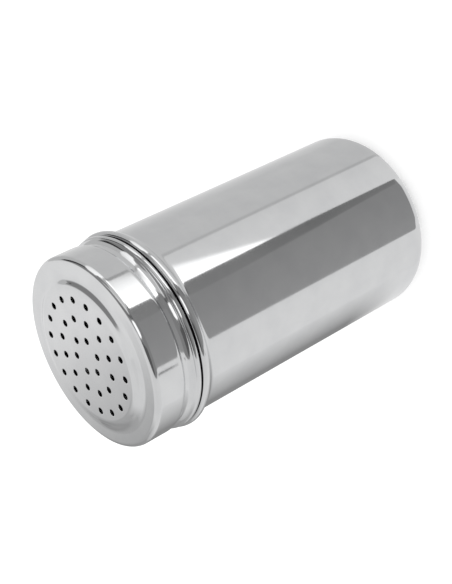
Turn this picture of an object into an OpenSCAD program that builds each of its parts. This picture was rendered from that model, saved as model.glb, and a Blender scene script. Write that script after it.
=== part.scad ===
// Sheet-steel spice shaker: a drawn can with a rolled mouth bead, and a
// perforated lid whose plug slides into the mouth. The origin is the centre
// of the base, and +Z points up through the lid.

/* [Sheet] */
// Thickness of the steel sheet
sheet_t = 0.6; // [0.4:0.05:0.7]

/* [Can] */
// Outside diameter of the straight wall
can_d = 66.2; // [50:0.2:90]
// Height from the base to the top of the rolled mouth
can_h = 110.2; // [60:0.2:200]
// Outside radius of the rounded base corner
base_corner_r = 6.5; // [4:0.1:9]
// Width of the flat foot ring that the can stands on
foot_w = 2.4; // [1.5:0.1:4]
// How far the middle of the base is dished up
dish_depth = 1.2; // [0.6:0.1:1.8]
// Bend radius on either side of the dish's slope
dish_bend_r = 1.5; // [1.2:0.1:2.5]

/* [Mouth bead] */
// How far the bead stands out past the wall
bead_out = 2.2; // [1.6:0.1:2.8]
// Radius of the bead's lower flank
bead_flank_r = 2.1; // [1.8:0.1:3.6]
// Radius that blends the flank into the wall
bead_blend_r = 3; // [1.6:0.1:4]
// How far the rolled edge turns in, past the mouth's own wall, in degrees
bead_curl_turn = 60; // [30:5:75]

/* [Lid] */
// How far the head's wall stands out past the can's wall
head_over = 0.7; // [0:0.1:1.2]
// Outside radius of the edge between the rim face and the head's wall
head_edge_r = 1.9; // [1:0.1:3]
// Height of the head, from the rim face to where the shoulder starts
head_h = 10.1; // [5:0.1:20]
// Radius of the shoulder under the head
shoulder_r = 2.3; // [1.5:0.1:2.8]
// Radius that turns the shoulder into the waist
waist_fillet_r = 0.6; // [0.4:0.1:1]
// Height of the straight waist between the shoulder and the flare
waist_h = 0.9; // [0:0.1:6]
// Radius that flares the waist out to the lip
flare_r = 2.5; // [1.6:0.1:3]
// How far the lip stands out past the waist
lip_out = 2.3; // [1.6:0.1:2.8]
// Radius of the lip's roll
lip_roll_r = 1; // [0.9:0.1:1.5]
// Radius that turns the lip back into the plug
lip_under_r = 0.5; // [0.3:0.1:0.8]
// Depth of the plug below the lip
plug_depth = 10; // [5:0.5:20]
// Radius of the plug's turned-in end
plug_lead_r = 3; // [2:0.5:5]
// How far the plug's end turns in, in degrees
plug_lead_turn = 35; // [15:5:60]

/* [Sifter disc] */
// Width of the rim around the raised disc, to the middle of the disc's slope
rim_w = 8.2; // [5:0.1:12]
// How far the disc is raised above the rim face
disc_rise = 1.7; // [0.8:0.1:2]
// Bend radius on either side of the disc's slope
disc_bend_r = 5; // [1.2:0.1:6]
// Diameter of a sprinkling hole
hole_d = 2.4; // [1:0.1:4]
// Number of rings of holes
hole_rings = 3; // [1:1:4]
// Holes in the innermost ring, and how many more each ring outward has
holes_step = 6; // [4:1:6]
// Radius of the innermost ring of holes
inner_ring_r = 6.3; // [5:0.1:9]
// Flat margin from the outermost ring's centre line to the disc's slope
hole_margin = 2.7; // [2:0.1:8]

/* [Fits] */
// Radial clearance of the plug in the mouth
plug_gap = 0.2; // [0.1:0.05:0.4]
// Gap between the lid's lip and the bead that it sits on
seat_gap = 0.3; // [0.2:0.05:0.5]

/* [Hidden] */

steel = [0.78, 0.79, 0.8];
turn_fn = 128;
hole_fn = 32;
// Steps along each rounded bend
bend_steps = 10;
// How far a drill runs past the sheet on both sides
drill_over = 1;

can_r = can_d / 2;
mouth_r = can_r - sheet_t;
plug_r = mouth_r - plug_gap;

// Bead: a half-round roll on top, and a flatter flank below it
bead_r = can_r + bead_out;
bead_roll_r = (bead_r - mouth_r) / 2;
bead_roll_x = bead_r - bead_roll_r;
bead_z = can_h - bead_roll_r;
bead_flank_x = bead_r - bead_flank_r;
bead_blend_x = can_r + bead_blend_r;
bead_blend_a = meet_angle(bead_blend_x - bead_flank_x, bead_flank_r + bead_blend_r);
bead_blend_z = bead_z - meet_rise(bead_blend_x - bead_flank_x, bead_flank_r + bead_blend_r);

// Base: the foot ring lies between the corner and the dish
foot_out_r = can_r - base_corner_r;
foot_in_r = foot_out_r - foot_w;
dish_a = slope_angle(dish_depth, dish_bend_r);
dish_r = foot_in_r - slope_width(dish_a, dish_bend_r);

// Lid: the lip's roll sits on the bead's roll, and the rest stacks up from it
waist_r = plug_r;
lip_r = waist_r + lip_out;
lip_x = lip_r - lip_roll_r;
lip_z = bead_z + meet_rise(bead_roll_x - lip_x, bead_roll_r + lip_roll_r + seat_gap);
flare_x = waist_r + flare_r;
flare_a = meet_angle(flare_x - lip_x, flare_r + lip_roll_r);
flare_z = lip_z + meet_rise(flare_x - lip_x, flare_r + lip_roll_r);
head_r = can_r + head_over;
shoulder_x = head_r - shoulder_r;
waist_fillet_x = waist_r + waist_fillet_r;
shoulder_a = meet_angle(waist_fillet_x - shoulder_x, shoulder_r + waist_fillet_r);
waist_z = flare_z + waist_h;
shoulder_z = waist_z + meet_rise(waist_fillet_x - shoulder_x, shoulder_r + waist_fillet_r);
face_z = shoulder_z + head_h;
top_z = face_z + disc_rise;
lip_under_x = plug_r + lip_under_r;
lip_under_a = meet_angle(lip_under_x - lip_x, lip_under_r + lip_roll_r);
lip_under_z = lip_z - meet_rise(lip_under_x - lip_x, lip_under_r + lip_roll_r);
plug_z = lip_z - lip_roll_r - plug_depth;
plug_lead_z = plug_z + plug_lead_r * sin(plug_lead_turn);

// Raised disc: two equal bends make its slope
disc_a = slope_angle(disc_rise, disc_bend_r);
disc_r = head_r - rim_w - slope_width(disc_a, disc_bend_r) / 2;
disc_foot_r = head_r - rim_w + slope_width(disc_a, disc_bend_r) / 2;
outer_ring_r = disc_r - hole_margin;

// Two bends of opposite sense meet where the line of their centres crosses
// them: its angle above the horizontal, and the height between the centres
function meet_angle(across, reach) = acos(across / reach);
function meet_rise(across, reach) = sqrt(reach * reach - across * across);

// A step of a given height made of two equal bends: the turn of each bend,
// and the width that the pair takes
function slope_angle(rise, bend_r) = acos(1 - rise / (2 * bend_r));
function slope_width(turn, bend_r) = 2 * bend_r * sin(turn);

// Radius of ring number i of the sprinkling holes, counted from 0
function ring_r(i) = hole_rings == 1 ? inner_ring_r
    : inner_ring_r + i * (outer_ring_r - inner_ring_r) / (hole_rings - 1);

// One bend of the sheet: [x, z, radius of the outer face, first angle, last
// angle, sense]. Its sense is 1 where the outer face bulges and -1 where it
// is hollow, so the inner face is that radius less or plus the thickness.
function bend_face(b, depth) = [
    for (i = [0 : bend_steps])
        let (a = b[3] + (b[4] - b[3]) * i / bend_steps, r = b[2] - b[5] * depth)
        [b[0] + r * cos(a), b[1] + r * sin(a)]
];
function sheet_face(bends, depth) = [for (b = bends) each bend_face(b, depth)];
function backwards(points) = [for (i = [len(points) - 1 : -1 : 0]) points[i]];

// Outline of a turned sheet that starts on the axis with its outer face at
// the height start_z; up says on which side of that face the metal lies
function sheet_outline(bends, start_z, up) = concat(
    [[0, start_z]],
    sheet_face(bends, 0),
    backwards(sheet_face(bends, sheet_t)),
    [[0, start_z + up * sheet_t]]
);

can_bends = [
    [dish_r, dish_depth - dish_bend_r, dish_bend_r, 90, 90 - dish_a, -1],
    [foot_in_r, dish_bend_r, dish_bend_r, 270 - dish_a, 270, 1],
    [foot_out_r, base_corner_r, base_corner_r, 270, 360, 1],
    [bead_blend_x, bead_blend_z, bead_blend_r, 180, 180 - bead_blend_a, -1],
    [bead_flank_x, bead_z, bead_flank_r, -bead_blend_a, 0, 1],
    [bead_roll_x, bead_z, bead_roll_r, 0, 180 + bead_curl_turn, 1],
];

lid_bends = [
    [disc_r, top_z - disc_bend_r, disc_bend_r, 90, 90 - disc_a, 1],
    [disc_foot_r, face_z + disc_bend_r, disc_bend_r, 270 - disc_a, 270, -1],
    [head_r - head_edge_r, face_z - head_edge_r, head_edge_r, 90, 0, 1],
    [shoulder_x, shoulder_z, shoulder_r, 0, -shoulder_a, 1],
    [waist_fillet_x, waist_z, waist_fillet_r, 180 - shoulder_a, 180, -1],
    [flare_x, flare_z, flare_r, 180, 180 + flare_a, -1],
    [lip_x, lip_z, lip_roll_r, flare_a, -lip_under_a, 1],
    [lip_under_x, lip_under_z, lip_under_r, 180 - lip_under_a, 180, -1],
    [plug_r - plug_lead_r, plug_lead_z, plug_lead_r, 0, -plug_lead_turn, 1],
];

// Drawn can: dished base, straight wall and hollow rolled bead in one sheet
module can() {
    color(steel)
        rotate_extrude($fn = turn_fn)
            polygon(sheet_outline(can_bends, dish_depth, 1));
}

// Rings of round sprinkling holes through the raised disc
module sprinkling_holes() {
    for (i = [0 : hole_rings - 1]) {
        count = holes_step * (i + 1);
        for (k = [0 : count - 1])
            rotate([0, 0, 360 * k / count])
                translate([ring_r(i), 0, top_z - sheet_t - drill_over])
                    cylinder(h = sheet_t + 2 * drill_over, d = hole_d, $fn = hole_fn);
    }
}

// Pull-off lid: raised disc, rim, head, waist, lip and plug in one sheet
module sifter_lid() {
    color(steel)
        difference() {
            rotate_extrude($fn = turn_fn)
                polygon(sheet_outline(lid_bends, top_z, -1));
            sprinkling_holes();
        }
}

can();
sifter_lid();
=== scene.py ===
"""Sheet-steel spice shaker: a drawn can with a rolled mouth bead, and a perforated sifter lid."""
from collections import namedtuple
from math import acos, cos, degrees, pi, radians, sin, sqrt

import bmesh
import bpy
from mathutils import Matrix, Vector


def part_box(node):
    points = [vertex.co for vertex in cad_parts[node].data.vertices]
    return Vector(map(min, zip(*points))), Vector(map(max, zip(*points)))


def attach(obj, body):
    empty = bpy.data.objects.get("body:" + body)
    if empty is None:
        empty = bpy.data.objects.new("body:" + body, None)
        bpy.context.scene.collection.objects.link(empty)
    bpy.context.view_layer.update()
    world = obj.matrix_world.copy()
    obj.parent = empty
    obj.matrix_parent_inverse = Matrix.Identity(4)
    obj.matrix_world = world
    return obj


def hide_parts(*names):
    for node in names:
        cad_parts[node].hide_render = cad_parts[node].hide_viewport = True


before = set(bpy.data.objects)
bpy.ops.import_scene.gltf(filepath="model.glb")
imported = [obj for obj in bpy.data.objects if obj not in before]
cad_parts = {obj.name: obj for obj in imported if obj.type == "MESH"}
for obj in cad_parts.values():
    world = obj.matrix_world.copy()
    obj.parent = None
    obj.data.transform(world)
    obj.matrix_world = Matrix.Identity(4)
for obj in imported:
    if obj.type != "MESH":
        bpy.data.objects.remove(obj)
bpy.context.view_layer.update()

MM = 0.001

# Sizes are in millimetres and turns in degrees; heights and widest radii come from the frame
CAN_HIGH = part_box("can")[1] / MM
LID_LOW, LID_HIGH = (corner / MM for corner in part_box("sifter_lid"))
SHEET_T = 0.6

# Can
BEAD_R = CAN_HIGH.x
MOUTH_Z = CAN_HIGH.z
BEAD_OUT = 2.2
WALL_R = BEAD_R - BEAD_OUT
BASE_CORNER_R = 6.5
FOOT_W = 2.4
DISH_DEPTH = 1.2
DISH_BEND_R = 1.5
BEAD_BLEND_R = 3.0
BEAD_FLANK_R = 2.1
BEAD_ROLL_R = (BEAD_OUT + SHEET_T) / 2
BEAD_CURL_TURN = 60

# Lid, whose waist is as wide as its plug
TOP_Z = LID_HIGH.z
LIP_R = LID_HIGH.x
LIP_OUT = 2.3
PLUG_R = LIP_R - LIP_OUT
HEAD_OVER = 0.7
HEAD_R = WALL_R + HEAD_OVER
DISC_RISE = 1.7
DISC_BEND_R = 5.0
RIM_W = 8.2
HEAD_EDGE_R = 1.9
HEAD_H = 10.1
SHOULDER_R = 2.3
WAIST_FILLET_R = 0.6
FLARE_R = 2.5
LIP_ROLL_R = 1.0
LIP_UNDER_R = 0.5
SEAT_GAP = 0.3
PLUG_LEAD_R = 3.0
PLUG_LEAD_TURN = 35

# Sprinkling holes: how many each ring has, and the collar of even faces round each hole
HOLE_R = 1.2
HOLE_RINGS = (6, 12, 18)
INNER_RING_R = 6.3
HOLE_MARGIN = 2.7
HOLE_COLLAR_R = 1.5
HOLE_SIDES = 28

# Painted shade in the crevice where the bead and the lip lie nearest, a dark ring on each roll:
# the angle of its middle round the roll, how far it stays dark to either side, where it ends, and
# how far it reaches from the roll's centre
BEAD_SEAM_TURN = 101
LIP_SEAM_TURN = -71
SEAM_DARK_TURN = 15
SEAM_END_TURN = 38
SEAM_REACH = 2.4

# Softening of the sheet's raw edges, and the least turn that counts as such an edge
RAW_EDGE_R = 0.12
RAW_EDGE_STEPS = 3
RAW_EDGE_TURN = 50

# Fineness of the turned meshes: steps round the axis, the turn of each step along a bend and the
# fewest steps of one
TURN_STEPS = 240
BEND_STEP = 5.5
LEAST_BEND_STEPS = 4

# A long straight stretch has a short rest at either end, which keeps the shading of the bends
# off it
LONG_STRETCH = 1.0
EDGE_REST = 0.3

# What counts as level with the disc, and as one point
LEVEL_TOLERANCE = 0.01
MERGE_DISTANCE = 0.001

# One bend of a sheet's outer face: its centre, its radius, and its first and last angle
Bend = namedtuple("Bend", "x z radius first last")


def meet_angle(across, reach):
    """Angle above the horizontal at which two opposite bends meet."""
    return degrees(acos(across / reach))


def meet_rise(across, reach):
    """Height between the centres of two opposite bends that meet."""
    return sqrt(reach * reach - across * across)


def step_turn(rise, bend_r):
    """Turn of each of the two equal bends that make a step in the sheet."""
    return degrees(acos(1 - rise / (2 * bend_r)))


def can_bends():
    """The can's outer face, from the base up to the bead's curl."""
    bead_z = MOUTH_Z - BEAD_ROLL_R
    flank_x = BEAD_R - BEAD_FLANK_R
    blend_x = WALL_R + BEAD_BLEND_R
    reach = BEAD_FLANK_R + BEAD_BLEND_R
    blend_turn = meet_angle(blend_x - flank_x, reach)
    blend_z = bead_z - meet_rise(blend_x - flank_x, reach)
    foot_out_r = WALL_R - BASE_CORNER_R
    foot_in_r = foot_out_r - FOOT_W
    dish_turn = step_turn(DISH_DEPTH, DISH_BEND_R)
    dish_r = foot_in_r - 2 * DISH_BEND_R * sin(radians(dish_turn))
    return {
        "dish": Bend(dish_r, DISH_DEPTH - DISH_BEND_R, DISH_BEND_R, 90, 90 - dish_turn),
        "foot": Bend(foot_in_r, DISH_BEND_R, DISH_BEND_R, 270 - dish_turn, 270),
        "base corner": Bend(foot_out_r, BASE_CORNER_R, BASE_CORNER_R, 270, 360),
        "bead blend": Bend(blend_x, blend_z, BEAD_BLEND_R, 180, 180 - blend_turn),
        "bead flank": Bend(flank_x, bead_z, BEAD_FLANK_R, -blend_turn, 0),
        "bead": Bend(BEAD_R - BEAD_ROLL_R, bead_z, BEAD_ROLL_R, 0, 180 + BEAD_CURL_TURN),
    }


def lid_bends():
    """The lid's outer face, from the disc down to the plug's end."""
    face_z = TOP_Z - DISC_RISE
    disc_turn = step_turn(DISC_RISE, DISC_BEND_R)
    half_slope = DISC_BEND_R * sin(radians(disc_turn))
    slope_mid_r = HEAD_R - RIM_W
    shoulder_x = HEAD_R - SHOULDER_R
    fillet_x = PLUG_R + WAIST_FILLET_R
    shoulder_reach = SHOULDER_R + WAIST_FILLET_R
    shoulder_turn = meet_angle(fillet_x - shoulder_x, shoulder_reach)
    shoulder_z = face_z - HEAD_H
    waist_z = shoulder_z - meet_rise(fillet_x - shoulder_x, shoulder_reach)
    lip_x = LIP_R - LIP_ROLL_R
    seat_reach = BEAD_ROLL_R + LIP_ROLL_R + SEAT_GAP
    lip_z = MOUTH_Z - BEAD_ROLL_R + meet_rise(BEAD_R - BEAD_ROLL_R - lip_x, seat_reach)
    flare_x = PLUG_R + FLARE_R
    flare_turn = meet_angle(flare_x - lip_x, FLARE_R + LIP_ROLL_R)
    flare_z = lip_z + meet_rise(flare_x - lip_x, FLARE_R + LIP_ROLL_R)
    under_x = PLUG_R + LIP_UNDER_R
    under_turn = meet_angle(under_x - lip_x, LIP_UNDER_R + LIP_ROLL_R)
    under_z = lip_z - meet_rise(under_x - lip_x, LIP_UNDER_R + LIP_ROLL_R)
    lead_z = LID_LOW.z + PLUG_LEAD_R * sin(radians(PLUG_LEAD_TURN))
    disc_r = slope_mid_r - half_slope
    disc_foot_r = slope_mid_r + half_slope
    return {
        "disc": Bend(disc_r, TOP_Z - DISC_BEND_R, DISC_BEND_R, 90, 90 - disc_turn),
        "disc foot": Bend(disc_foot_r, face_z + DISC_BEND_R, DISC_BEND_R, 270 - disc_turn, 270),
        "head edge": Bend(HEAD_R - HEAD_EDGE_R, face_z - HEAD_EDGE_R, HEAD_EDGE_R, 90, 0),
        "shoulder": Bend(shoulder_x, shoulder_z, SHOULDER_R, 0, -shoulder_turn),
        "waist fillet": Bend(fillet_x, waist_z, WAIST_FILLET_R, 180 - shoulder_turn, 180),
        "flare": Bend(flare_x, flare_z, FLARE_R, 180, 180 + flare_turn),
        "lip": Bend(lip_x, lip_z, LIP_ROLL_R, flare_turn, -under_turn),
        "lip fillet": Bend(under_x, under_z, LIP_UNDER_R, 180 - under_turn, 180),
        "plug lead": Bend(PLUG_R - PLUG_LEAD_R, lead_z, PLUG_LEAD_R, 0, -PLUG_LEAD_TURN),
    }


def pull_tip(mesh, tip, place):
    """Draws the line on from its tip to a place, and returns the new tip."""
    drawn = bmesh.ops.extrude_vert_indiv(mesh, verts=[tip])
    drawn["verts"][0].co = place
    return drawn["verts"][0]


def draw_sheet_line(mesh, start_x, start_z, bends):
    """Draws the outer face of a turned sheet as one line beside the Z axis."""
    tip = mesh.verts.new((start_x * MM, 0, start_z * MM))
    for bend in bends.values():
        centre = Vector((bend.x, 0, bend.z)) * MM
        to_start = Matrix.Rotation(radians(bend.first), 3, (0, -1, 0))
        start = centre + to_start @ Vector((bend.radius * MM, 0, 0))
        stretch = start - tip.co
        if stretch.length > LONG_STRETCH * MM:
            rest = stretch.normalized() * EDGE_REST * MM
            tip = pull_tip(mesh, tip, tip.co + rest)
            tip = pull_tip(mesh, tip, start - rest)
        tip = pull_tip(mesh, tip, start)
        turn = bend.last - bend.first
        steps = max(LEAST_BEND_STEPS, round(abs(turn) / BEND_STEP))
        drawn = bmesh.ops.spin(mesh, geom=[tip], cent=centre, axis=(0, -1, 0),
                               angle=radians(turn), steps=steps)
        tip = [part for part in drawn["geom_last"] if isinstance(part, bmesh.types.BMVert)][0]


def turn_sheet(mesh):
    """Spins the drawn line round the Z axis and closes the join where the spin meets its start."""
    bmesh.ops.spin(mesh, geom=mesh.verts[:] + mesh.edges[:], cent=(0, 0, 0), axis=(0, 0, 1),
                   angle=2 * pi, steps=TURN_STEPS, use_merge=True)
    bmesh.ops.remove_doubles(mesh, verts=mesh.verts[:], dist=MERGE_DISTANCE * MM)


def hole_places(disc_r):
    """Centres of the sprinkling holes in a flat disc of that radius, ring by ring."""
    spacing = (disc_r - HOLE_MARGIN - INNER_RING_R) / (len(HOLE_RINGS) - 1)
    for ring, count in enumerate(HOLE_RINGS):
        first_hole = Vector((INNER_RING_R + ring * spacing, 0, TOP_Z))
        for hole in range(count):
            yield Matrix.Rotation(2 * pi * hole / count, 3, "Z") @ first_hole


def draw_circle(mesh, centre, radius):
    """Draws a level circle round a hole's centre, and returns its edges."""
    drawn = bmesh.ops.create_circle(mesh, segments=HOLE_SIDES, radius=radius * MM,
                                    matrix=Matrix.Translation(centre * MM))
    return list(dict.fromkeys(edge for vert in drawn["verts"] for edge in vert.link_edges))


def fill_sifter_disc(mesh, disc_r):
    """Closes the flat disc in the open top, leaving the sprinkling holes open."""
    disc_level = (TOP_Z - LEVEL_TOLERANCE) * MM
    outlines = [edge for edge in mesh.edges
                if edge.is_boundary and min(vert.co.z for vert in edge.verts) > disc_level]
    for centre in hole_places(disc_r):
        rim = draw_circle(mesh, centre, HOLE_R)
        collar = draw_circle(mesh, centre, HOLE_COLLAR_R)
        bmesh.ops.bridge_loops(mesh, edges=rim + collar)
        outlines += collar
    bmesh.ops.triangle_fill(mesh, use_beauty=True, edges=outlines, normal=(0, 0, 1))


def paint_crevice_shade(mesh, roll, middle):
    """Paints shade on a roll's ring that lies nearest to the other sheet, from 0 outside it to 1.
    """
    centre = Vector((roll.x, roll.z)) * MM
    layer = mesh.verts.layers.float.new("painted_crevice_shade")
    for vert in mesh.verts:
        spoke = Vector((vert.co.to_2d().length, vert.co.z)) - centre
        if 0 < spoke.length < SEAM_REACH * MM:
            off = abs(degrees(spoke.angle_signed(Vector((1, 0)))) - middle)
            share = min(max((SEAM_END_TURN - off) / (SEAM_END_TURN - SEAM_DARK_TURN), 0), 1)
            vert[layer] = share * share * (3 - 2 * share)


def finish_sheet(mesh, name, body, outer_steel, inner_steel):
    """Gives the turned face its thickness and soft raw edges, and makes it a piece of that body."""
    bmesh.ops.recalc_face_normals(mesh, faces=mesh.faces[:])
    for face in mesh.faces:
        face.smooth = True
    piece = bpy.data.objects.new(name, bpy.data.meshes.new(name))
    mesh.to_mesh(piece.data)
    mesh.free()
    bpy.context.scene.collection.objects.link(piece)
    piece.data.materials.append(outer_steel)
    piece.data.materials.append(inner_steel)
    thickness = piece.modifiers.new("sheet thickness", "SOLIDIFY")
    thickness.thickness = SHEET_T * MM
    thickness.offset = -1
    thickness.use_even_offset = True
    # The inner face takes the inner steel, and the raw edges take the outer
    thickness.material_offset = 1
    thickness.material_offset_rim = 0
    raw_edge = piece.modifiers.new("softened raw edges", "BEVEL")
    raw_edge.width = RAW_EDGE_R * MM
    raw_edge.segments = RAW_EDGE_STEPS
    raw_edge.limit_method = "ANGLE"
    raw_edge.angle_limit = radians(RAW_EDGE_TURN)
    raw_edge.use_clamp_overlap = False
    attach(piece, body)
    return piece


def make_can(outer_steel, inner_steel):
    """Drawn can: dished base, straight wall and hollow rolled bead in one sheet."""
    mesh = bmesh.new()
    bends = can_bends()
    draw_sheet_line(mesh, 0, DISH_DEPTH, bends)
    turn_sheet(mesh)
    # Painted shade on the top of the bead, where it lies under the lid's lip
    paint_crevice_shade(mesh, bends["bead"], BEAD_SEAM_TURN)
    can = finish_sheet(mesh, "drawn_can", "can", outer_steel, inner_steel)
    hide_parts("can")


def make_sifter_lid(outer_steel, inner_steel):
    """Pull-off lid: perforated disc, rim, head, waist, lip and plug in one sheet."""
    mesh = bmesh.new()
    bends = lid_bends()
    disc_r = bends["disc"].x
    draw_sheet_line(mesh, disc_r - EDGE_REST, TOP_Z, bends)
    turn_sheet(mesh)
    fill_sifter_disc(mesh, disc_r)
    # Painted shade on the underside of the lip, where it lies over the can's bead
    paint_crevice_shade(mesh, bends["lip"], LIP_SEAM_TURN)
    lid = finish_sheet(mesh, "pressed_lid", "lid", outer_steel, inner_steel)
    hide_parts("sifter_lid")


# Steel: its darkest and palest tone and the colour of the painted crevice shade, and the size and
# detail of the clouds of noise in its tone, its roughness and its waves
STEEL_DARK = (0.75, 0.755, 0.765, 1)
STEEL_PALE = (0.80, 0.805, 0.81, 1)
PAINTED_SHADE_COLOUR = (0.02, 0.02, 0.02, 1)
TONE_CLOUD = (9, 4)
HAZE_CLOUD = (14, 3)
WAVE_CLOUD = (30, 0)
WAVE_DEPTH = 0.01

# Polishing lines: how fine their noise is across them, for each metre, and along them, its
# detail, how much of the roughness they make up, and the least radius that they divide by
LINES_ACROSS = 2600
LINES_ALONG = 6
LINES_DETAIL = 3
LINES_SHARE = 0.6
AXIS_R = 1.0

# The noise values that count as its lowest and highest
NOISE_LOW = 0.3
NOISE_HIGH = 0.7


class Shader:
    """A new material's node tree, with short calls to add and join its nodes."""

    def __init__(self, name):
        self.material = bpy.data.materials.new(name)
        self.material.use_nodes = True
        self.tree = self.material.node_tree
        self.tree.nodes.clear()

    def add(self, kind, inputs=None, **settings):
        """Adds a node, and sets each input to a value or joins it to another node's output."""
        node = self.tree.nodes.new(kind)
        for key, value in settings.items():
            setattr(node, key, value)
        for key, value in (inputs or {}).items():
            if isinstance(value, bpy.types.NodeSocket):
                self.tree.links.new(value, node.inputs[key])
            else:
                node.inputs[key].default_value = value
        return node

    def math(self, operation, *values):
        """Works out one step of arithmetic."""
        return self.add("ShaderNodeMath", dict(enumerate(values)), operation=operation).outputs[0]

    def mix(self, share, first, second):
        """Mixes two colours."""
        colours = {"Factor": share, "A": first, "B": second}
        return self.add("ShaderNodeMix", colours, data_type="RGBA").outputs["Result"]

    def spread(self, noise, low, high):
        """Maps a noise value onto a range."""
        ends = {"From Min": NOISE_LOW, "From Max": NOISE_HIGH, "To Min": low, "To Max": high}
        return self.add("ShaderNodeMapRange", {"Value": noise, **ends}).outputs["Result"]

    def finish(self, surface):
        """Makes that node the material's surface, and returns the material."""
        self.add("ShaderNodeOutputMaterial", {"Surface": surface.outputs[0]})
        return self.material


def polish_lines(shader):
    """Noise drawn out into fine rings round the Z axis, as a polishing wheel leaves them."""
    place = shader.add("ShaderNodeTexCoord").outputs["Object"]
    x, y, z = shader.add("ShaderNodeSeparateXYZ", {0: place}).outputs
    squares = shader.math("ADD", shader.math("MULTIPLY", x, x), shader.math("MULTIPLY", y, y))
    radius = shader.math("SQRT", squares)
    safe_radius = shader.math("MAXIMUM", radius, AXIS_R * MM)
    ring = shader.add("ShaderNodeCombineXYZ", {
        "X": shader.math("MULTIPLY", shader.math("DIVIDE", x, safe_radius), LINES_ALONG),
        "Y": shader.math("MULTIPLY", shader.math("DIVIDE", y, safe_radius), LINES_ALONG),
        "Z": shader.math("MULTIPLY", z, LINES_ACROSS),
    })
    noise = shader.add("ShaderNodeTexNoise", {
        "Vector": ring.outputs[0],
        "W": shader.math("MULTIPLY", radius, LINES_ACROSS),
        "Scale": 1,
        "Detail": LINES_DETAIL,
    }, noise_dimensions="4D")
    return noise.outputs["Fac"]


def cloud(shader, size, detail):
    """Plain noise with spots of about that size."""
    noise = shader.add("ShaderNodeTexNoise", {
        "Vector": shader.add("ShaderNodeTexCoord").outputs["Object"],
        "Scale": 1 / (size * MM),
        "Detail": detail,
    })
    return noise.outputs["Fac"]


def make_steel(name, smooth, rough, grain_depth):
    """Stainless sheet: a near mirror with polishing rings, faint pressing waves and cloudy tone."""
    shader = Shader(name)
    clouded = shader.spread(cloud(shader, *TONE_CLOUD), 0, 1)
    tone = shader.mix(clouded, STEEL_DARK, STEEL_PALE)
    painted_crevice_shade = shader.add("ShaderNodeAttribute", attribute_name="painted_crevice_shade").outputs["Fac"]

    lines = polish_lines(shader)
    haze = cloud(shader, *HAZE_CLOUD)
    mixed = shader.math("ADD", shader.math("MULTIPLY", lines, LINES_SHARE),
                        shader.math("MULTIPLY", haze, 1 - LINES_SHARE))

    waves = shader.add("ShaderNodeBump", {
        "Distance": WAVE_DEPTH * MM,
        "Height": cloud(shader, *WAVE_CLOUD),
    })
    grain = shader.add("ShaderNodeBump", {
        "Distance": grain_depth * MM,
        "Height": lines,
        "Normal": waves.outputs["Normal"],
    })
    # The base colour is darkened towards black by the painted crevice shade, which stands in for
    # the shade between lip and bead
    return shader.finish(shader.add("ShaderNodeBsdfPrincipled", {
        "Metallic": 1,
        "Base Color": shader.mix(painted_crevice_shade, tone, PAINTED_SHADE_COLOUR),
        "Roughness": shader.spread(mixed, smooth, rough),
        "Normal": grain.outputs["Normal"],
    }))


# Camera. Turns round the shaker and headings are counted from its side
CAMERA_PLACE = Vector((-86.9, -360.5, 317.2))
CAMERA_AIM = Vector((-1.85, 0.44, 70.52))
CAMERA_ROLL = 117.1
CAMERA_LENS = 78.71
CAMERA_NEAR = 10
CAMERA_SIDE = degrees(CAMERA_PLACE.to_2d().angle_signed(Vector((1, 0))))

# Floor, and how much it glows where it is seen or mirrored
FLOOR_R = 6000
FLOOR_SIDES = 96
FLOOR_COLOUR = (0.8, 0.8, 0.8, 1)
FLOOR_LIFT = 0.42
WHITE = (1, 1, 1, 1)

# Cards: the fineness of each, the level of those on the floor and of those laid over them, and
# the reaches where a floor band starts, where its foot tone ends and its own tone starts, and
# where it ends
CARD_STEPS = 16
FLOOR_CARD_Z = 0.5
OVERLAY_Z = 0.9
UNDER_REACH = -5
GLOW_REACH = 15
FADE_REACH = 48
FAR_REACH = 520

# Turns where the main floor cards meet
ROOM_RIGHT = -22.3
ROOM_LEFT = 12
GAP_RIGHT = 31
GAP_LEFT = 33

# Paper dome round the lid: its centre, how far off it and the cards before it are, and the
# heights of its foot, of its low cards' top and of its cap's edge
SKY_CENTRE = Vector((0, 0, 120))
FAR_SKY = 560
MIDDLE_SKY = 500
NEAR_SKY = 440
SKY_FOOT = -17
LOW_TOP = 28
CAP_EDGE = 76


def make_camera():
    """Camera above the lid's side, rolled so that the standing shaker lies across the picture."""
    camera = bpy.data.objects.new("camera", bpy.data.cameras.new("camera"))
    bpy.context.scene.collection.objects.link(camera)
    camera.data.lens = CAMERA_LENS
    camera.data.clip_start = CAMERA_NEAR * MM
    aim = (CAMERA_AIM - CAMERA_PLACE).to_track_quat("-Z", "Y").to_matrix().to_4x4()
    camera.matrix_world = (Matrix.Translation(CAMERA_PLACE * MM) @ aim
                           @ Matrix.Rotation(-radians(CAMERA_ROLL), 4, "Z"))
    bpy.context.scene.camera = camera


def stage_object(name, mesh, material):
    """Makes a stage object from a bmesh."""
    thing = bpy.data.objects.new(name, bpy.data.meshes.new(name))
    mesh.to_mesh(thing.data)
    mesh.free()
    thing.data.materials.append(material)
    bpy.context.scene.collection.objects.link(thing)
    return thing


def make_floor_paper():
    """White paper that takes soft shadows, and is a little whiter where it is seen or mirrored."""
    shader = Shader("white floor")
    rays = shader.add("ShaderNodeLightPath").outputs
    mirrored = shader.math("MAXIMUM", rays["Is Glossy Ray"], rays["Is Transmission Ray"])
    seen = shader.math("MAXIMUM", rays["Is Camera Ray"], mirrored)
    lift = shader.math("MULTIPLY", seen, FLOOR_LIFT)
    sheet = shader.add("ShaderNodeBsdfDiffuse", {"Color": FLOOR_COLOUR})
    glow = shader.add("ShaderNodeEmission", {"Strength": lift})
    both = {0: sheet.outputs[0], 1: glow.outputs[0]}
    return shader.finish(shader.add("ShaderNodeAddShader", both))


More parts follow.
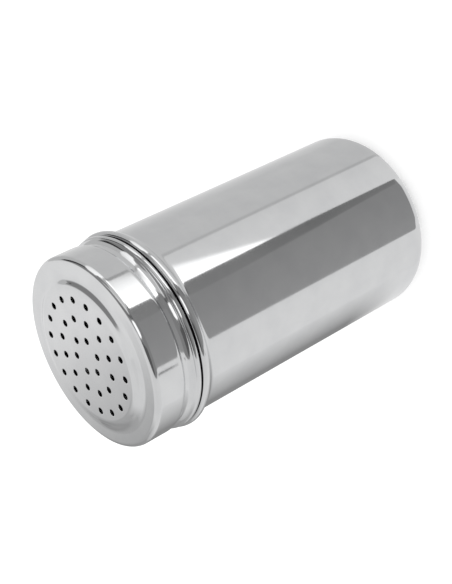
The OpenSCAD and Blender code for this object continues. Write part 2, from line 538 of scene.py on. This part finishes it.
def make_floor():
    """White floor that shows the shaker's soft shadow."""
    mesh = bmesh.new()
    bmesh.ops.create_circle(mesh, cap_ends=True, segments=FLOOR_SIDES, radius=FLOOR_R * MM)
    stage_object("floor", mesh, make_floor_paper())


def make_white_room():
    """Even white light from all round."""
    world = bpy.data.worlds.new("white room")
    world.use_nodes = True
    background = world.node_tree.nodes["Background"]
    background.inputs["Color"].default_value = WHITE
    background.inputs["Strength"].default_value = 1.0
    bpy.context.scene.world = world


def make_toned_paper():
    """Evenly lit paper whose tone is read from the card, where 1 is white."""
    shader = Shader("toned paper")
    tone = shader.add("ShaderNodeAttribute", attribute_name="tone").outputs["Fac"]
    return shader.finish(shader.add("ShaderNodeEmission", {"Strength": tone}))


def make_card(name, paper, place, stops):
    """Card that runs through a row of stops and has a tone at each end of every stop.

    An end is two measures that place() turns into a point, and then its tone. The steel mirrors
    the card, and the card neither shows in the picture nor shades the floor.
    """
    spans = len(stops) - 1
    mesh = bmesh.new()
    bmesh.ops.create_grid(mesh, x_segments=spans * CARD_STEPS, y_segments=CARD_STEPS, size=0.5)
    layer = mesh.verts.layers.float.new("tone")
    for vert in mesh.verts:
        run = (vert.co.x + 0.5) * spans
        span = min(int(run), spans - 1)
        first, last = (Vector(near).lerp(Vector(far), run - span)
                       for near, far in zip(stops[span], stops[span + 1]))
        across, up, vert[layer] = first.lerp(last, vert.co.y + 0.5)
        vert.co = place(across, up) * MM
    card = stage_object(name, mesh, paper)
    card.visible_camera = False
    card.visible_diffuse = False
    card.visible_shadow = False
    card.visible_transmission = False


def heading_vector(heading):
    """Level unit vector at a heading from the camera's side."""
    return Matrix.Rotation(radians(CAMERA_SIDE + heading), 3, "Z") @ Vector((1, 0, 0))


def floor_card(name, paper, stops, level=FLOOR_CARD_Z):
    """Card on the floor. Its ends are a turn round the wall, the reach from there, and a tone.

    The reach is counted along the line on the floor that the wall mirrors at that turn, so the
    wall shows an even turn as an upright line.
    """
    def place(turn, reach):
        outward = heading_vector(turn)
        foot = WALL_R * outward
        sight = (foot - CAMERA_PLACE) * Vector((1, 1, 0))
        along = sight.reflect(outward).normalized() if reach > 0 else outward
        return foot + reach * along + Vector((0, 0, level))

    make_card(name, paper, place, stops)


def floor_band(name, paper, turns, tones, foot_tones=None):
    """Floor card that runs from the can's foot outwards, and may be another tone near the foot."""
    rows = [(UNDER_REACH, foot_tones or tones), (GLOW_REACH, foot_tones or tones),
            (FADE_REACH, tones), (FAR_REACH, tones)]
    floor_card(name, paper, [[(turn, reach, tone) for turn, tone in zip(turns, ends)]
                             for reach, ends in rows])


def sky_card(name, paper, stops, distance=FAR_SKY):
    """Part of the paper dome. Its ends are a heading, a height in degrees and a tone."""
    def place(heading, height):
        level = cos(radians(height)) * heading_vector(heading)
        return SKY_CENTRE + distance * (level + Vector((0, 0, sin(radians(height)))))

    make_card(name, paper, place, stops)


def sky_band(name, paper, headings, tones, heights, distance=FAR_SKY):
    """Upright part of the dome between two headings, each with its own tone."""
    sky_card(name, paper, [[(heading, height, tone) for height in heights]
                           for heading, tone in zip(headings, tones)], distance)


def lay_floor_cards(paper):
    """Cards round the foot, from the front of the shaker round either side to its back."""
    floor_band("dark_room", paper, (ROOM_LEFT, ROOM_RIGHT), (0.26, 0.33))
    floor_card("dark_strip", paper, [
        [(12, 6, 0.2), (9, 6, 0.22)],
        [(12.6, 60, 0.165), (6.5, 60, 0.19)],
        [(12.2, 125, 0.22), (4.5, 125, 0.24)],
        [(12, FAR_REACH, 0.26), (2, FAR_REACH, 0.27)],
    ], OVERLAY_Z)
    floor_band("front_table", paper, (ROOM_RIGHT, -47), (0.78, 0.80))
    floor_card("frame_line", paper, [
        [(-25.3, 205, 0.25), (-26.6, 205, 0.25)],
        [(-25.3, 300, 0.25), (-26.6, 300, 0.25)],
    ], OVERLAY_Z)
    floor_band("shaded_table", paper, (-47, -70), (0.76, 0.28), (0.82, 0.84))
    floor_band("far_shade", paper, (-70, -88), (0.28, 0.25), (0.84, 0.84))
    floor_band("back_floor", paper, (-88, -110), (0.45, 0.80))
    floor_card("upper_panel", paper, [
        [(ROOM_LEFT, UNDER_REACH, 0.76), (GAP_RIGHT, UNDER_REACH, 0.70)],
        [(ROOM_LEFT, 78, 0.76), (GAP_RIGHT, 211, 0.70)],
        [(ROOM_LEFT, 94, 1.7), (GAP_RIGHT, 228, 0.9)],
        [(ROOM_LEFT, FAR_REACH, 1.7), (GAP_RIGHT, FAR_REACH, 0.9)],
    ])
    floor_card("foot_glow", paper, [
        [(ROOM_LEFT, UNDER_REACH, 0.85), (ROOM_LEFT, 4, 0.80)],
        [(6, UNDER_REACH, 0.85), (6, 1.5, 0.75)],
        [(-16, UNDER_REACH, 0.85), (-16, 1.5, 0.75)],
        [(ROOM_RIGHT, UNDER_REACH, 0.85), (ROOM_RIGHT, 4, 0.80)],
    ], OVERLAY_Z)
    floor_card("gap_line", paper, [
        [(GAP_RIGHT, reach, tone), (GAP_LEFT, reach, tone)]
        for reach, tone in ((UNDER_REACH, 0.50), (185, 0.50), (215, 0.36), (FAR_REACH, 0.36))
    ])
    floor_band("left_panel", paper, (GAP_LEFT, 60), (0.60, 0.60))
    floor_band("left_rise", paper, (60, 72), (0.60, 0.70))
    floor_band("back_light", paper, (72, 84), (0.70, 0.87))


def hang_dome(paper):
    """Paper dome: the tones of the room all round the lid."""
    sky_card("room_front", paper, [
        [(28, SKY_FOOT, 0.25), (20, CAP_EDGE, 0.22)],
        [(-46, SKY_FOOT, 0.25), (-66, CAP_EDGE, 0.22)],
    ])
    sky_card("room_right", paper, [
        [(-46, SKY_FOOT, 0.76), (-66, CAP_EDGE, 0.72)],
        [(-118, SKY_FOOT, 0.76), (-118, CAP_EDGE, 0.72)],
    ])
    sky_card("room_back_right", paper, [
        [(-118, SKY_FOOT, 0.74), (-145, SKY_FOOT, 0.42)],
        [(-118, 28, 0.74), (-145, 31, 0.42)],
        [(-118, 38, 0.76), (-145, 41, 0.74)],
        [(-118, CAP_EDGE, 0.76), (-145, CAP_EDGE, 0.76)],
    ])
    sky_card("room_back_shade", paper, [
        [(215, SKY_FOOT, 0.42), (189, SKY_FOOT, 0.44)],
        [(215, 31, 0.42), (189, 31, 0.44)],
        [(215, 41, 0.74), (189, 41, 0.76)],
        [(215, CAP_EDGE, 0.76), (189, CAP_EDGE, 0.78)],
    ])
    sky_card("room_back_fade", paper, [
        [(189, SKY_FOOT, 0.44), (177, SKY_FOOT, 0.83)],
        [(189, 31, 0.44), (177, 31, 0.83)],
        [(189, 41, 0.76), (177, 41, 0.83)],
        [(189, CAP_EDGE, 0.78), (177, CAP_EDGE, 0.83)],
    ])
    sky_band("room_back_low", paper, (177, 147), (0.83, 0.80), (SKY_FOOT, LOW_TOP))
    sky_card("room_back", paper, [
        [(177, LOW_TOP, 0.83), (147, LOW_TOP, 0.80)],
        [(177, CAP_EDGE, 0.83), (130, CAP_EDGE, 0.80)],
    ])
    sky_band("room_left_low", paper, (147, 60), (0.55, 0.52), (SKY_FOOT, LOW_TOP))
    sky_card("room_left_fade", paper, [
        [(147, LOW_TOP, 0.80), (139, LOW_TOP, 0.24)],
        [(130, CAP_EDGE, 0.80), (120, CAP_EDGE, 0.24)],
    ])
    sky_card("room_left", paper, [
        [(139, LOW_TOP, 0.24), (60, LOW_TOP, 0.26)],
        [(120, CAP_EDGE, 0.24), (60, CAP_EDGE, 0.26)],
    ])
    sky_band("room_left_front", paper, (60, 24), (0.62, 0.6), (SKY_FOOT, 46))
    sky_band("room_top_left", paper, (60, 20), (0.30, 0.30), (46, CAP_EDGE))
    sky_band("room_top", paper, (-180, 180), (0.78, 0.78), (CAP_EDGE, 90))
    sky_card("room_top_shade", paper, [
        [(0, height, tone), (120, height, tone)]
        for height, tone in ((75, 0.26), (80, 0.26), (85, 0.78))
    ], MIDDLE_SKY)


def hang_lights(paper):
    """Softboxes and the flags between them, in front of the dome."""
    sky_card("front_flag", paper, [
        [(-20, 28, 0.12), (-20, 76, 0.1)],
        [(-52, 28, 0.1), (-64, 76, 0.1)],
    ], MIDDLE_SKY)
    sky_card("left_flag", paper, [
        [(84, 26, 0.04), (84, 38, 0.04)],
        [(135, 20, 0.04), (135, 32, 0.04)],
    ], MIDDLE_SKY)
    sky_band("softbox", paper, (61, 30), (1.45, 1.45), (SKY_FOOT, 3), MIDDLE_SKY)
    sky_card("side_softbox", paper, [
        [(86, SKY_FOOT, 0.8), (65, SKY_FOOT, 1.1)],
        [(92, 14, 1.0), (65.5, 14, 1.3)],
        [(99, 38, 0.9), (86, 40, 1.1)],
    ], NEAR_SKY)
    sky_card("back_right_shade", paper, [
        [(222, SKY_FOOT, 0.40), (192, SKY_FOOT, 0.34)],
        [(222, 14, 0.36), (192, 14, 0.32)],
        [(222, 24, 0.43), (192, 24, 0.43)],
    ], MIDDLE_SKY)
    sky_card("curved_light", paper, [
        [(24, 30, 0.8), (19, 36, 0.8)],
        [(36, 40, 0.9), (30, 46, 0.9)],
        [(55, 46, 0.9), (50, 53, 0.9)],
        [(84, 48, 0.6), (84, 55, 0.6)],
    ], MIDDLE_SKY)
    sky_card("curved_flag", paper, [
        [(18, 20, 0.12), (12, 20, 0.12)],
        [(20, 46, 0.1), (14, 46, 0.1)],
        [(32, 61, 0.1), (24, 64, 0.1)],
        [(80, 70, 0.15), (80, 77, 0.15)],
    ], NEAR_SKY)
    sky_card("strip_light", paper, [
        [(8, 26, 0.9), (-3, 26, 0.9)],
        [(12, 36, 1.3), (-8, 36, 1.3)],
        [(15, 52, 1.4), (-11, 52, 1.4)],
        [(16, 66, 1.0), (-12, 66, 1.0)],
    ], NEAR_SKY)


bpy.context.scene.view_settings.view_transform = "Standard"
make_camera()
make_floor()
make_white_room()
toned_paper = make_toned_paper()
lay_floor_cards(toned_paper)
hang_dome(toned_paper)
hang_lights(toned_paper)

polished_face = make_steel("polished steel", smooth=0.06, rough=0.12, grain_depth=0.0015)
drawn_face = make_steel("drawn inner face", smooth=0.18, rough=0.3, grain_depth=0.004)
make_can(polished_face, drawn_face)
make_sifter_lid(polished_face, drawn_face)
